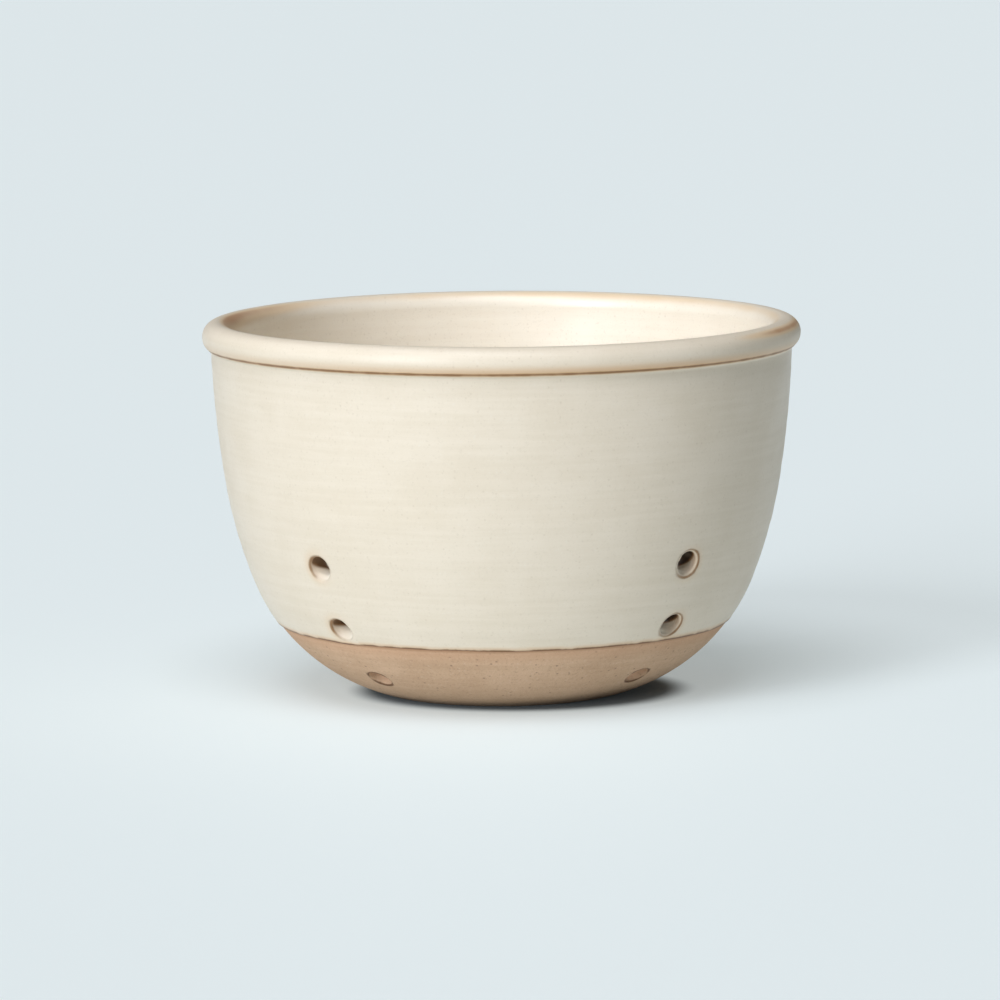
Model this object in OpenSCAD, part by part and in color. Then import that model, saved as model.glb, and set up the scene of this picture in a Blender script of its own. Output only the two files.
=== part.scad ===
// Berry colander bowl in stoneware: a thrown clay pot with a rolled rim and columns of drain holes,
// a cream glaze coat outside that stops at a line above the bare base, and a liner glaze inside.
// Millimetres, +Z up. The origin is the centre of the foot, on the table. The front faces -Y.

/* [Bowl] */
// Diameter over the glazed rim
rim_d = 150; // [130:1:175]
// Height from the table to the glazed crest of the rim
height = 93.5; // [80:0.5:115]
// Diameter of the foot, where the wall leaves the table
foot_d = 63.2; // [52:0.2:72]
// Thickness of the clay wall
wall = 4.9; // [3.8:0.1:6]

/* [Curve of the wall] */
// Slope of the wall where it leaves the foot, in degrees from level
heel_angle = 16; // [10:0.1:22]
// Slope where the tight heel curve runs into the belly
belly_angle = 67; // [60:0.5:70]
// Slope where the belly runs into the tall upper wall
shoulder_angle = 79.5; // [76:0.1:83]
// Slope of the wall under the rim
lip_angle = 88.9; // [87:0.1:89.8]
// Radius of the belly curve
belly_r = 123; // [90:0.5:150]

/* [Rim] */
// How far the bead stands out past the wall, outside
bead_out = 2.1; // [1.2:0.1:3]
// How far the bead rolls in past the wall, inside: almost flush
bead_in = 0.02; // [0.02:0.02:0.5]

/* [Foot and floor] */
// Width of the ring that the bowl stands on
foot_ring_w = 5.5; // [4:0.1:8]
// Depth of the turned recess inside the foot ring
recess_depth = 1.5; // [0.8:0.1:2.5]
// Thickness of the clay floor at its middle
floor_t = 4; // [3:0.1:6]
// Slope of the dished floor where it meets the curve of the inside
dish_angle = 8; // [5:0.5:12]

/* [Drain holes] */
// Diameter of a finished drain hole
hole_d = 6; // [4.5:0.1:7.5]
// Angle of each column of holes from the front or the back
column_angle = 42.5; // [35:0.5:55]
// Height of the lowest row, in the bare clay
low_row_z = 7.7; // [6.5:0.1:9.5]
// Height of the middle row, just above the glaze line
mid_row_z = 21.8; // [21:0.1:25]
// Height of the top row
top_row_z = 37.5; // [33:0.1:45]
// Distance of the holes in the floor from its middle
floor_hole_r = 15.5; // [11:0.5:20]
// Width of the softened edge of a hole
hole_edge = 0.45; // [0.35:0.05:0.8]

/* [Glaze] */
// Thickness of the fired glaze
glaze_t = 0.3; // [0.2:0.05:0.45]
// Height of the line where the outer glaze stops
glaze_line_z = 17.8; // [14:0.1:18.2]

/* [Hidden] */
$fn = 96;

clay_color = [0.72, 0.56, 0.44];
glaze_color = [0.87, 0.82, 0.71];
liner_color = [0.85, 0.79, 0.68];

foot_r = foot_d / 2;
hole_r = hole_d / 2;
clay_rim_r = rim_d / 2 - glaze_t;
bead_r = (bead_out + wall + bead_in) / 2;
bead_c = [clay_rim_r - bead_r, height - glaze_t - bead_r];
lip_r = clay_rim_r - bead_out;
floor_z = recess_depth + floor_t;
// Length by which a cutter runs past the surfaces that it cuts
past = 3;
// Each arc of a curve starts this much steeper than the last one ends, so that they cross cleanly
crease = 1;

// A point of an arc is its centre plus its radius along this normal, which points out of the pot
function normal(slope) = [sin(slope), -cos(slope)];

// Two arc radii that take a curve out by reach and up by climb, from slope a to b and from c to d
function run(a, b) = sin(b) - sin(a);
function rise(a, b) = cos(a) - cos(b);
function two_radii(reach, climb, a, b, c, d) =
    let (det = run(a, b) * rise(c, d) - run(c, d) * rise(a, b))
    [(reach * rise(c, d) - climb * run(c, d)) / det, (climb * run(a, b) - reach * rise(a, b)) / det];

// Outside of the clay: heel, belly and upper wall are three arcs
belly_from = belly_angle + crease;
upper_from = shoulder_angle + crease;
outer_radii = two_radii(
    lip_r - foot_r - belly_r * run(belly_from, shoulder_angle),
    bead_c[1] - belly_r * rise(belly_from, shoulder_angle),
    heel_angle, belly_angle, upper_from, lip_angle);
heel_r = outer_radii[0];
upper_r = outer_radii[1];
heel_c = [foot_r, 0] - heel_r * normal(heel_angle);
belly_start = heel_c + heel_r * normal(belly_angle);
belly_c = belly_start - belly_r * normal(belly_from);
upper_start = belly_c + belly_r * normal(shoulder_angle);
upper_c = upper_start - upper_r * normal(upper_from);

// Inside of the clay: a dished floor and a curve that meets the wall where the belly starts
curve_from = dish_angle + crease;
curve_end = belly_c + (belly_r - wall) * normal(belly_from);
inner_radii = two_radii(curve_end[0], curve_end[1] - floor_z, 0, dish_angle, curve_from, belly_angle);
dish_r = inner_radii[0];
curve_r = inner_radii[1];
dish_c = [0, floor_z + dish_r];
curve_c = curve_end - curve_r * normal(belly_angle);

// Slope and point of the clay's outside at height z
function arc_at(z) =
    z < belly_start[1] ? [heel_c, heel_r] :
    z < upper_start[1] ? [belly_c, belly_r] : [upper_c, upper_r];
function slope_at(z) = let (arc = arc_at(z)) acos((arc[0][1] - z) / arc[1]);
function wall_point(z) = let (arc = arc_at(z)) arc[0] + arc[1] * normal(slope_at(z));

// Rows of holes: a hole whose lower edge is clear of the glaze line is lined with glaze
rows = [low_row_z, mid_row_z, top_row_z];
columns = [-90 - column_angle, -90 + column_angle, 90 - column_angle, 90 + column_angle];
function is_lined(z) = z - (hole_r + hole_edge) * sin(slope_at(z)) > glaze_line_z;
lined_rows = [for (z = rows) if (is_lined(z)) z];
bare_rows = [for (z = rows) if (!is_lined(z)) z];

// Half section of everything between two heights
module band(from_z, to_z) {
    translate([0, from_z]) square([rim_d, to_z - from_z]);
}

// Half section of what one arc of a curve leaves open: its disc between two slopes, and all past them
module arc_limit(c, r, low_slope, high_slope) {
    low = c[1] - r * cos(low_slope);
    high = c[1] - r * cos(high_slope);
    translate(c) circle(r);
    if (c[0] > 0) translate([0, low - past]) square([c[0], high - low + 2 * past]);
    band(low - height, low);
    band(high, high + height);
}

// Half section of the pot as a solid form, with its surface moved out by a coat
module pot_section(out) {
    intersection() {
        band(0, bead_c[1]);
        arc_limit(heel_c, heel_r + out, 0, belly_from);
        arc_limit(belly_c, belly_r + out, 0, upper_from);
        translate(upper_c) circle(upper_r + out);
    }
    translate(bead_c) circle(bead_r + out);
}

// Half section of the hollow, with its surface moved in by a coat
module hollow_section(in) {
    difference() {
        union() {
            intersection() {
                band(0, bead_c[1]);
                translate(dish_c) circle(dish_r - in);
                arc_limit(curve_c, curve_r - in, dish_angle, belly_from);
                arc_limit(belly_c, belly_r - wall - in, 0, upper_from);
                translate(upper_c) circle(upper_r - wall - in);
            }
            translate([0, bead_c[1]]) square([bead_c[0], bead_r + glaze_t + past]);
        }
        translate(bead_c) circle(bead_r + in);
    }
}

// Half section of the turned recess under the floor, with a flank of 45 degrees
module recess_section() {
    recess_r = foot_r - foot_ring_w;
    polygon([
        [0, -past], [recess_r + past, -past],
        [recess_r - recess_depth, recess_depth], [0, recess_depth]]);
}

// Half section of the space that the outer coat covers: above its line and outside the crest
module coat_side() {
    translate([0, glaze_line_z]) square([rim_d, bead_c[1] - glaze_line_z]);
    translate([bead_c[0], bead_c[1]]) square([rim_d, height]);
}

// Cutter for one drain hole, square to the wall at height z, with its edge softened at a surface
module drain(z, r, surface, edge) {
    p = wall_point(z);
    translate([p[0], 0, p[1]]) rotate([0, 180 - slope_at(z), 0]) {
        translate([0, 0, -2 * wall - past]) cylinder(h = 2 * wall + surface + 2 * past, r = r);
        if (edge > 0) translate([0, 0, surface - edge]) cylinder(h = 2 * edge, r1 = r, r2 = r + 2 * edge);
    }
}

// Cutters for rows of drain holes in every column
module drains(heights, r, surface = 0, edge = 0) {
    for (a = columns, z = heights) rotate([0, 0, a]) drain(z, r, surface, edge);
}

// Cutters for the holes in the floor: one in the middle and one in line with each column
module floor_drains() {
    translate([0, 0, -past]) cylinder(h = floor_z + 2 * past, r = hole_r);
    for (a = columns) rotate([0, 0, a]) translate([floor_hole_r, 0, -past])
        cylinder(h = floor_z + 2 * past, r = hole_r);
}

module stoneware_body() {
    color(clay_color) difference() {
        rotate_extrude() difference() {
            pot_section(0);
            hollow_section(0);
            recess_section();
        }
        drains(lined_rows, hole_r + glaze_t);
        drains(bare_rows, hole_r, 0, hole_edge);
        floor_drains();
    }
}

module outer_glaze() {
    color(glaze_color) difference() {
        union() {
            rotate_extrude() difference() {
                intersection() {
                    pot_section(glaze_t);
                    coat_side();
                }
                pot_section(0);
            }
            intersection() {
                rotate_extrude() difference() {
                    pot_section(0);
                    hollow_section(0);
                }
                drains(lined_rows, hole_r + glaze_t);
            }
        }
        drains(rows, hole_r, glaze_t, hole_edge);
    }
}

module inner_glaze() {
    color(liner_color) difference() {
        rotate_extrude() difference() {
            hollow_section(0);
            hollow_section(glaze_t);
        }
        drains(rows, hole_r);
        floor_drains();
    }
}

stoneware_body();
outer_glaze();
inner_glaze();
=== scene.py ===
"""Looks of a stoneware berry colander bowl: the fired clay, a cream glaze outside that stops above the bare
base, and a liner glaze inside. The half section repeats the curves of the solids in millimetres. Every mesh
is turned from it, gets its drain holes let in ring by ring, and is placed in metres."""
import math
from dataclasses import dataclass

import bpy
import numpy as np
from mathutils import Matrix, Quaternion, Vector


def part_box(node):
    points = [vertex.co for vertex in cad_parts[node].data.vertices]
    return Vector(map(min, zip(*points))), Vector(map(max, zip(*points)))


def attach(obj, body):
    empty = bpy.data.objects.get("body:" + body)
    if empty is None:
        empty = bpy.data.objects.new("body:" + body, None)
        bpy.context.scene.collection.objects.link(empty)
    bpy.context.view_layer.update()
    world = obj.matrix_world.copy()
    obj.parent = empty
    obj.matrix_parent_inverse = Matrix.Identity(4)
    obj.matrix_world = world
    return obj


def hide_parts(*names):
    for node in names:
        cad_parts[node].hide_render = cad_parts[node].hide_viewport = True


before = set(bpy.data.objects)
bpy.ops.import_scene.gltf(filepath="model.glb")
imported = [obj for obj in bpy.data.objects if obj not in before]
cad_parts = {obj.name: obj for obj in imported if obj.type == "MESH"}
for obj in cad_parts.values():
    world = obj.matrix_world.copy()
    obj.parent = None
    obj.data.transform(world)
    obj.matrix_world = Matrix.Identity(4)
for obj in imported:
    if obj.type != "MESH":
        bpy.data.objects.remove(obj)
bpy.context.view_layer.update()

MM = 0.001

# Sizes that the frame gives, in millimetres
clay_high = np.array(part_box("stoneware_body")[1]) / MM
coat_low, coat_high = np.array(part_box("outer_glaze")) / MM
HEIGHT = coat_high[2]
GLAZE_T = coat_high[0] - clay_high[0]
CLAY_RIM_R = clay_high[0]
LINE_Z = coat_low[2]

# Sizes of the half section, in millimetres, with slopes in degrees from level
FOOT_R = 31.6
WALL = 4.9
HEEL_SLOPE = 16
BELLY_SLOPE = 67
SHOULDER_SLOPE = 79.5
LIP_SLOPE = 88.9
BELLY_R = 123
BEAD_OUT = 2.1
BEAD_IN = 0.02
FOOT_RING_W = 5.5
RECESS_DEPTH = 1.5
FLOOR_T = 4
DISH_SLOPE = 8
CREASE = 1

# Drain holes
HOLE_R = 3.0
HOLE_EDGE = 0.45
COLUMN_ANGLE = 42.5
ROW_HEIGHTS = (7.7, 21.8, 37.5)
# How far the hand that cut them strayed along each row, in degrees
ROW_TURNS = (1.66, 0.46, 0.0)
# How far it strayed at single holes of a column and row, in millimetres along the turn and up the wall
STRAYS = {(0, 1): (0.0, -0.36), (0, 2): (-0.6, -0.36), (1, 1): (0.25, 0.2), (1, 2): (0.46, 0.36)}
STRAY_REACH = 5.0
# How far a hand-cut hole is oval and bumpy
OVAL = 0.05
BUMP = 0.03
FLOOR_HOLE_R = 15.5
# Seed of the first floor hole
FLOOR_SEED = 20

# Roundings that the fired pieces have and the solids leave sharp
GLAZE_FILLET = 0.4
BEAD_COVE = 0.8
FOOT_EDGE = 0.5
RECESS_FILLET = 1.0
# Softened lips of the holes in each row, rounder where the glaze lies thicker
ROW_EDGES = (0.45, 0.6, 0.85)
# How far the glaze that pooled in a bore draws it in, and the share of that on its upper side
BORE_WAIST = 1.0
UPPER_WAIST = 0.2
# Turn of the heel, in degrees, that the rounded corner of the foot takes up
FOOT_TURN = 1

# Fineness of the meshes: columns round the pot, and the length and turn that a row covers
COLUMNS = 288
ROW_STEP = 1.45
ROW_TURN = 10
# Fineness of their curves: length and turn of a step, and the least gaps between points and from an end
FINE = 0.08
ARC_TURN = 3
LEAST_GAP = 0.01
GUARD = 0.02
# Room about a hole in the square of mesh that it is let into, and the least columns on each side
WINDOW_ROOM = 0.45
FLOOR_ROOM = 1.1
LEAST_HALF = 4
# Rings from that square to the hole, turns round its softened edge, and rings down its bore
WINDOW_SHARES = (0.35, 0.7, 1)
EDGE_TURNS = (22.5, 45, 67.5, 90)
GLAZE_BORE_RINGS = 12
CLAY_BORE_RINGS = 6
# Depths from a hole's mouth between which its axis crosses the outside and the inside of the wall
AT_MOUTH = (-1, 1)
AT_END = (WALL / 2, 3 * WALL)
# Share of its thickness that a coat's mesh has, so that its back stays clear of the clay
BACK_SHARE = 0.8


# Half section: curves

def normal_at(slope):
    """The way that a surface of this slope faces, in the half section, on the outside of the pot."""
    angle = np.radians(slope)
    return np.stack([np.sin(angle), -np.cos(angle)], axis=-1)


def unit(ways):
    """The same ways with a length of 1."""
    return ways / np.linalg.norm(ways, axis=-1, keepdims=True)


def swung(place, theta):
    """Places or ways of the half section, turned about the pot's axis."""
    across, up = place
    return np.stack([across * np.cos(theta), across * np.sin(theta), up + 0 * theta], axis=-1)


def slope_towards(start, end):
    """The slope whose normal points from start to end."""
    across, up = end - start
    return math.degrees(math.atan2(across, -up))


def arc(centre, radius, start, end):
    """Points of an arc about a centre, from one slope to another."""
    length = math.radians(abs(end - start)) * radius
    count = 2 + int(max(length / FINE, abs(end - start) / ARC_TURN))
    return centre + radius * normal_at(np.linspace(start, end, count))


def line(start, end):
    """Points of a straight stretch."""
    count = 2 + int(np.linalg.norm(end - start) / FINE)
    return np.linspace(start, end, count)


def circles_meet(centre_a, radius_a, centre_b, radius_b):
    """Where two circles cross, to the right of the way from the first centre to the second."""
    gap = np.linalg.norm(centre_b - centre_a)
    way = (centre_b - centre_a) / gap
    along = (gap ** 2 + radius_a ** 2 - radius_b ** 2) / (2 * gap)
    across = math.sqrt(radius_a ** 2 - along ** 2)
    return centre_a + along * way + across * np.array([way[1], -way[0]])


def rounded(before, corner, after, radius):
    """Points of the arc that rounds a corner between two straight stretches."""
    back, ahead = unit(before - corner), unit(after - corner)
    half = math.acos(np.clip(back @ ahead, -1, 1)) / 2
    centre = corner + unit(back + ahead) * radius / math.sin(half)
    reach = radius / math.tan(half)
    start = slope_towards(centre, corner + back * reach)
    end = slope_towards(centre, corner + ahead * reach)
    return arc(centre, radius, start, start + (end - start + 180) % 360 - 180)


def two_radii(reach, climb, a, b, c, d):
    """Radii of two arcs that lead out by reach and up by climb, from slope a to b and from c to d."""
    first = normal_at(b) - normal_at(a)
    second = normal_at(d) - normal_at(c)
    return np.linalg.solve(np.column_stack([first, second]), [reach, climb])


class Outline:
    """A curve of the half section: its points, the length along it, and the way that it faces. A stretch
    joins the one before it where it no longer lies behind that one's end."""

    def __init__(self, *stretches):
        points = stretches[0]
        for stretch in stretches[1:]:
            ahead = (stretch - points[-1]) @ (points[-1] - points[-2]) > 0
            points = np.vstack([points, stretch[np.argmax(ahead):]])
        apart = np.linalg.norm(np.diff(points, axis=0), axis=1) > LEAST_GAP
        self.points = points[np.append(True, apart)]
        steps = np.diff(self.points, axis=0)
        sizes = np.linalg.norm(steps, axis=1)
        self.length = np.append(0, np.cumsum(sizes))
        self.total = self.length[-1]
        ways = np.unwrap(np.arctan2(steps[:, 1], steps[:, 0]))
        turns = np.append(0, np.abs(np.diff(ways)))
        effort = sizes / ROW_STEP + np.degrees(turns) / ROW_TURN
        self.effort = np.append(0, np.cumsum(effort))
        tangents = unit(np.gradient(self.points, self.length, axis=0))
        self.normals = np.column_stack([tangents[:, 1], -tangents[:, 0]])

    def at(self, station):
        """Radius and height at a length along the curve."""
        return [np.interp(station, self.length, self.points[:, k]) for k in range(2)]

    def facing(self, station):
        """The parts of the normal outwards and upwards at a length along the curve."""
        return [np.interp(station, self.length, self.normals[:, k]) for k in range(2)]

    def even(self, start, end):
        """Stations from start to end, closer where the curve turns."""
        low, high = np.interp([start, end], self.length, self.effort)
        count = max(1, math.ceil(high - low))
        stations = np.interp(np.linspace(low, high, count + 1), self.effort, self.length)
        stations[0], stations[-1] = start, end
        return stations

    def crossed_by(self, hole, nearest, farthest):
        """Station where a hole's axis crosses the curve, between two depths from the hole's mouth."""
        offset = self.points - hole.mouth
        beside = offset[:, 0] * hole.axis[1] - offset[:, 1] * hole.axis[0]
        depth = -(offset @ hole.axis)
        found = (beside[:-1] * beside[1:] <= 0) & (depth[:-1] > nearest) & (depth[:-1] < farthest)
        k = np.flatnonzero(found)[0]
        share = beside[k] / (beside[k] - beside[k + 1])
        return self.length[k] + share * (self.length[k + 1] - self.length[k])

    def place(self, theta, station):
        """Points and normals of the turned surface, at angles in radians and lengths along the curve."""
        return swung(self.at(station), theta), unit(swung(self.facing(station), theta))


# Half section: the pot

BEAD_R = (BEAD_OUT + WALL + BEAD_IN) / 2
BEAD_C = np.array([CLAY_RIM_R - BEAD_R, HEIGHT - GLAZE_T - BEAD_R])
LIP_R = CLAY_RIM_R - BEAD_OUT
FLOOR_Z = RECESS_DEPTH + FLOOR_T

# Outside of the clay: heel, belly and upper wall
belly_step = BELLY_R * (normal_at(SHOULDER_SLOPE) - normal_at(BELLY_SLOPE + CREASE))
HEEL_R, UPPER_R = two_radii(
    LIP_R - FOOT_R - belly_step[0], BEAD_C[1] - belly_step[1],
    HEEL_SLOPE, BELLY_SLOPE, SHOULDER_SLOPE + CREASE, LIP_SLOPE)
HEEL_C = np.array([FOOT_R, 0]) - HEEL_R * normal_at(HEEL_SLOPE)
BELLY_C = HEEL_C + HEEL_R * normal_at(BELLY_SLOPE) - BELLY_R * normal_at(BELLY_SLOPE + CREASE)
UPPER_C = BELLY_C + BELLY_R * normal_at(SHOULDER_SLOPE) - UPPER_R * normal_at(SHOULDER_SLOPE + CREASE)

# Inside of the clay: dished floor, the curve above it, and the wall
CURVE_END = BELLY_C + (BELLY_R - WALL) * normal_at(BELLY_SLOPE + CREASE)
DISH_R, CURVE_R = two_radii(
    CURVE_END[0], CURVE_END[1] - FLOOR_Z, 0, DISH_SLOPE, DISH_SLOPE + CREASE, BELLY_SLOPE)
DISH_C = np.array([0, FLOOR_Z + DISH_R])
CURVE_C = CURVE_END - CURVE_R * normal_at(BELLY_SLOPE)


def heel_slope_at(z):
    """Slope of the clay's outside at a height on the heel."""
    return math.degrees(math.acos((HEEL_C[1] - z) / HEEL_R))


def outer_wall(coat, start_slope):
    """Stretches of the outside from a slope on the heel up to the crest, moved out by a coat."""
    corner = circles_meet(UPPER_C, UPPER_R + coat + BEAD_COVE, BEAD_C, BEAD_R + coat + BEAD_COVE)
    return [
        arc(HEEL_C, HEEL_R + coat, start_slope, BELLY_SLOPE),
        arc(BELLY_C, BELLY_R + coat, BELLY_SLOPE + CREASE, SHOULDER_SLOPE),
        arc(UPPER_C, UPPER_R + coat, SHOULDER_SLOPE + CREASE, slope_towards(UPPER_C, corner)),
        arc(corner, BEAD_COVE, slope_towards(corner, UPPER_C), slope_towards(corner, BEAD_C)),
        arc(BEAD_C, BEAD_R + coat, slope_towards(BEAD_C, corner), 180),
    ]


def inner_wall(coat, end_r):
    """Stretches of the inside from the crest down to a radius on the floor, moved in by a coat."""
    corner = circles_meet(
        UPPER_C, UPPER_R - WALL - coat - GLAZE_FILLET, BEAD_C, BEAD_R + coat + GLAZE_FILLET)
    end_slope = math.degrees(math.asin(end_r / (DISH_R - coat)))
    return [
        arc(BEAD_C, BEAD_R + coat, 180, slope_towards(BEAD_C, corner) % 360),
        arc(corner, GLAZE_FILLET, slope_towards(corner, BEAD_C), slope_towards(UPPER_C, corner)),
        arc(UPPER_C, UPPER_R - WALL - coat, slope_towards(UPPER_C, corner), SHOULDER_SLOPE + CREASE),
        arc(BELLY_C, BELLY_R - WALL - coat, SHOULDER_SLOPE, BELLY_SLOPE + CREASE),
        arc(CURVE_C, CURVE_R - coat, BELLY_SLOPE, DISH_SLOPE + CREASE),
        arc(DISH_C, DISH_R - coat, DISH_SLOPE, end_slope),
    ]


def outer_coat_outline():
    """The outer glaze from its rounded lower edge to the crest."""
    lap = 10
    slope = heel_slope_at(LINE_Z) + math.degrees(GLAZE_T / HEEL_R)
    edge = HEEL_C + HEEL_R * normal_at(slope)
    return Outline(arc(edge, GLAZE_T, slope - 90 - lap, slope), *outer_wall(GLAZE_T, slope))


def inner_coat_outline():
    """The liner glaze from the crest to the rounded edge of the middle hole."""
    edge_r = HOLE_R + GLAZE_T
    edge = np.array([edge_r, DISH_C[1] - math.sqrt(DISH_R ** 2 - edge_r ** 2)])
    return Outline(*inner_wall(GLAZE_T, edge_r), arc(edge, GLAZE_T, 180, 270))


def clay_outline():
    """The clay all round: from the middle hole under the floor, out, up the outside, in and down again."""
    recess_r = FOOT_R - FOOT_RING_W
    tube_top = np.array([HOLE_R, DISH_C[1] - math.sqrt(DISH_R ** 2 - HOLE_R ** 2)])
    tube_foot = np.array([HOLE_R, RECESS_DEPTH])
    recess_corner = np.array([recess_r - RECESS_DEPTH, RECESS_DEPTH])
    ring_inner = np.array([recess_r, 0])
    ring_outer = np.array([FOOT_R, 0])
    heel = HEEL_C + HEEL_R * normal_at(HEEL_SLOPE + 2 * FOOT_TURN)
    under = [
        rounded(tube_top, tube_foot, recess_corner, HOLE_EDGE),
        rounded(tube_foot, recess_corner, ring_inner, RECESS_FILLET),
        rounded(recess_corner, ring_inner, ring_outer, FOOT_EDGE),
        rounded(ring_inner, ring_outer, heel, FOOT_EDGE),
    ]
    joined = [under[0]]
    for stretch in under[1:]:
        joined += [line(joined[-1][-1], stretch[0]), stretch]
    inside = inner_wall(0, HOLE_R + FOOT_EDGE)
    tube_edge = rounded(inside[-1][-1], tube_top, tube_foot, FOOT_EDGE / 2)
    shaft = line(tube_edge[-1], under[0][0])
    return Outline(*joined, *outer_wall(0, HEEL_SLOPE + FOOT_TURN), *inside, tube_edge, shaft)


# Drain holes

@dataclass
class Hole:
    """A drain hole: the mesh column it is on, its mouth and axis in the half section, the columns on each
    side that its window takes, whether glaze lines it, the seed of its form, the width of its softened edge,
    its turn from the column, and where the hand strayed."""
    column: int
    mouth: np.ndarray
    axis: np.ndarray
    half: int
    lined: bool
    seed: int
    edge: float = HOLE_EDGE
    turn: float = 0.0
    stray: tuple = (0.0, 0.0)

    @property
    def window(self):
        """Half the width of the square of mesh that the hole is let into."""
        return HOLE_R + self.edge + WINDOW_ROOM

    @property
    def theta(self):
        """Angle about the pot's axis."""
        return math.tau * self.column / COLUMNS + self.turn

    def axis_way(self):
        """Unit vector along the axis, out of the pot."""
        return swung(self.axis, self.theta)

    def mouth_point(self):
        """Middle of the mouth on the outside of the clay."""
        return swung(self.mouth, self.theta)

    def sides(self):
        """Unit vectors across the mouth: to the left as the pot turns, and up the wall."""
        turn = np.array([-math.sin(self.theta), math.cos(self.theta), 0])
        return turn, np.cross(self.axis_way(), turn)

    def angles(self):
        """Angles round the hole, from a corner of its window, anticlockwise."""
        count = 8 * self.half
        return math.radians(-135) + math.tau * np.arange(count) / count

    def radii(self, angles, radius):
        """Radius at angles round the hole, which is a little out of round."""
        oval = OVAL * np.cos(2 * angles + 1.7 * self.seed)
        bump = BUMP * np.cos(3 * angles + 2.3 * self.seed)
        return radius + oval + bump


def wall_mouth(z):
    """Mouth and axis, in the half section, of a hole square to the wall at a height."""
    arcs = (
        (HEEL_C, HEEL_R, BELLY_SLOPE),
        (BELLY_C, BELLY_R, SHOULDER_SLOPE),
        (UPPER_C, UPPER_R, LIP_SLOPE),
    )
    for centre, radius, top in arcs:
        slope = math.degrees(math.acos(np.clip((centre[1] - z) / radius, -1, 1)))
        if slope <= top + CREASE:
            break
    return centre + radius * normal_at(slope), normal_at(slope)


def drain_holes():
    """The holes of every column and row, and those of the floor round the middle one."""
    step = 360 / COLUMNS
    walls, floor = [], []
    angles = (-90 - COLUMN_ANGLE, -90 + COLUMN_ANGLE, 90 - COLUMN_ANGLE, 90 + COLUMN_ANGLE)
    for number, angle in enumerate(angles):
        for row, (z, turn, edge) in enumerate(zip(ROW_HEIGHTS, ROW_TURNS, ROW_EDGES)):
            column = round((angle + turn) / step)
            mouth, axis = wall_mouth(z)
            hole = Hole(column, mouth, axis, LEAST_HALF, z > LINE_Z, len(walls), edge)
            hole.turn = math.radians(angle + turn - column * step)
            hole.stray = STRAYS.get((number, row), (0.0, 0.0))
            width = math.tau * (mouth[0] - WALL) / COLUMNS
            hole.half = max(LEAST_HALF, math.ceil(hole.window / width))
            walls.append(hole)
        mouth = np.array([FLOOR_HOLE_R, RECESS_DEPTH])
        hole = Hole(round(angle / step), mouth, np.array([0, -1]), LEAST_HALF, False, FLOOR_SEED + number)
        hole.half = math.ceil(FLOOR_ROOM * hole.window * COLUMNS / (math.tau * FLOOR_HOLE_R))
        floor.append(hole)
    return walls, floor


WALL_HOLES, FLOOR_HOLES = drain_holes()


# Turned meshes

class Skin:
    """A turned mesh in the making: points, normals and faces."""

    def __init__(self):
        self.points = []
        self.normals = []
        self.faces = []
        self.count = 0

    def add(self, points, normals, ring=None):
        """Adds points and returns their numbers. With a ring given, they are the next one inside it."""
        self.points.append(points)
        self.normals.append(normals)
        numbers = np.arange(self.count, self.count + len(points))
        self.count += len(points)
        if ring is not None:
            self.bridge(ring, numbers)
        return numbers

    def bridge(self, ring, inner):
        """Faces between two closed rings, where the second lies inside the first."""
        self.faces += list(zip(ring, np.roll(ring, -1), np.roll(inner, -1), inner))

    def arrays(self):
        """All points, normals and faces."""
        return np.vstack(self.points), np.vstack(self.normals), np.array(self.faces)


class Opening:
    """Where a hole opens in a turned surface: the hole, its station there, and the side it opens to."""

    def __init__(self, outline, hole, depths):
        self.outline = outline
        self.hole = hole
        self.station = outline.crossed_by(hole, *depths)
        self.side = 1 if depths == AT_MOUTH else -1

    def rows_taken(self, rows):
        """The first and the last of the rows that the hole's window takes."""
        window = self.hole.window
        return np.searchsorted(rows, [self.station - window - FINE, self.station + window - FINE])

    def ring(self, angles, radii):
        """Angles about the pot's axis and stations of a ring round the hole on the surface."""
        stations = self.station + radii * np.sin(angles)
        thetas = self.hole.theta + radii * np.cos(angles) / self.outline.at(stations)[0]
        return thetas, stations

    def let_in(self, skin, grid, rows, radius, edge):
        """Meshes the window between the grid and the hole, rounds the edge, and returns the last ring."""
        hole = self.hole
        low, high = self.rows_taken(rows)
        ways = np.arange(-hole.half, hole.half)
        climb = np.arange(low, high)
        side = np.full(len(climb), hole.half)
        columns = np.concatenate([ways, side, -ways, -side])
        levels = np.concatenate([
            np.full(len(ways), low), climb, np.full(len(ways), high), climb[::-1] + 1])
        loop = grid[levels, (hole.column + columns) % COLUMNS]
        loop_theta = (hole.column + columns) * math.tau / COLUMNS
        angles = hole.angles()
        radii = hole.radii(angles, radius)
        mouth_theta, mouth_station = self.ring(angles, radii + edge)
        for share in WINDOW_SHARES:
            theta = loop_theta + share * (mouth_theta - loop_theta)
            station = rows[levels] + share * (mouth_station - rows[levels])
            loop = skin.add(*self.outline.place(theta, station), loop)
        out = self.side * hole.axis_way()
        for turn in np.radians(EDGE_TURNS) if edge else ():
            points, normals = self.outline.place(*self.ring(angles, radii + edge * (1 - np.sin(turn))))
            inwards = self.inwards(points)
            points = points - edge * (1 - np.cos(turn)) * out
            loop = skin.add(points, np.cos(turn) * normals + np.sin(turn) * inwards, loop)
        return loop

    def inwards(self, points):
        """Unit vectors from points to the hole's axis, square to it."""
        axis = self.hole.axis_way()
        offset = self.hole.mouth_point() - points
        return unit(offset - np.outer(offset @ axis, axis))


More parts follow.
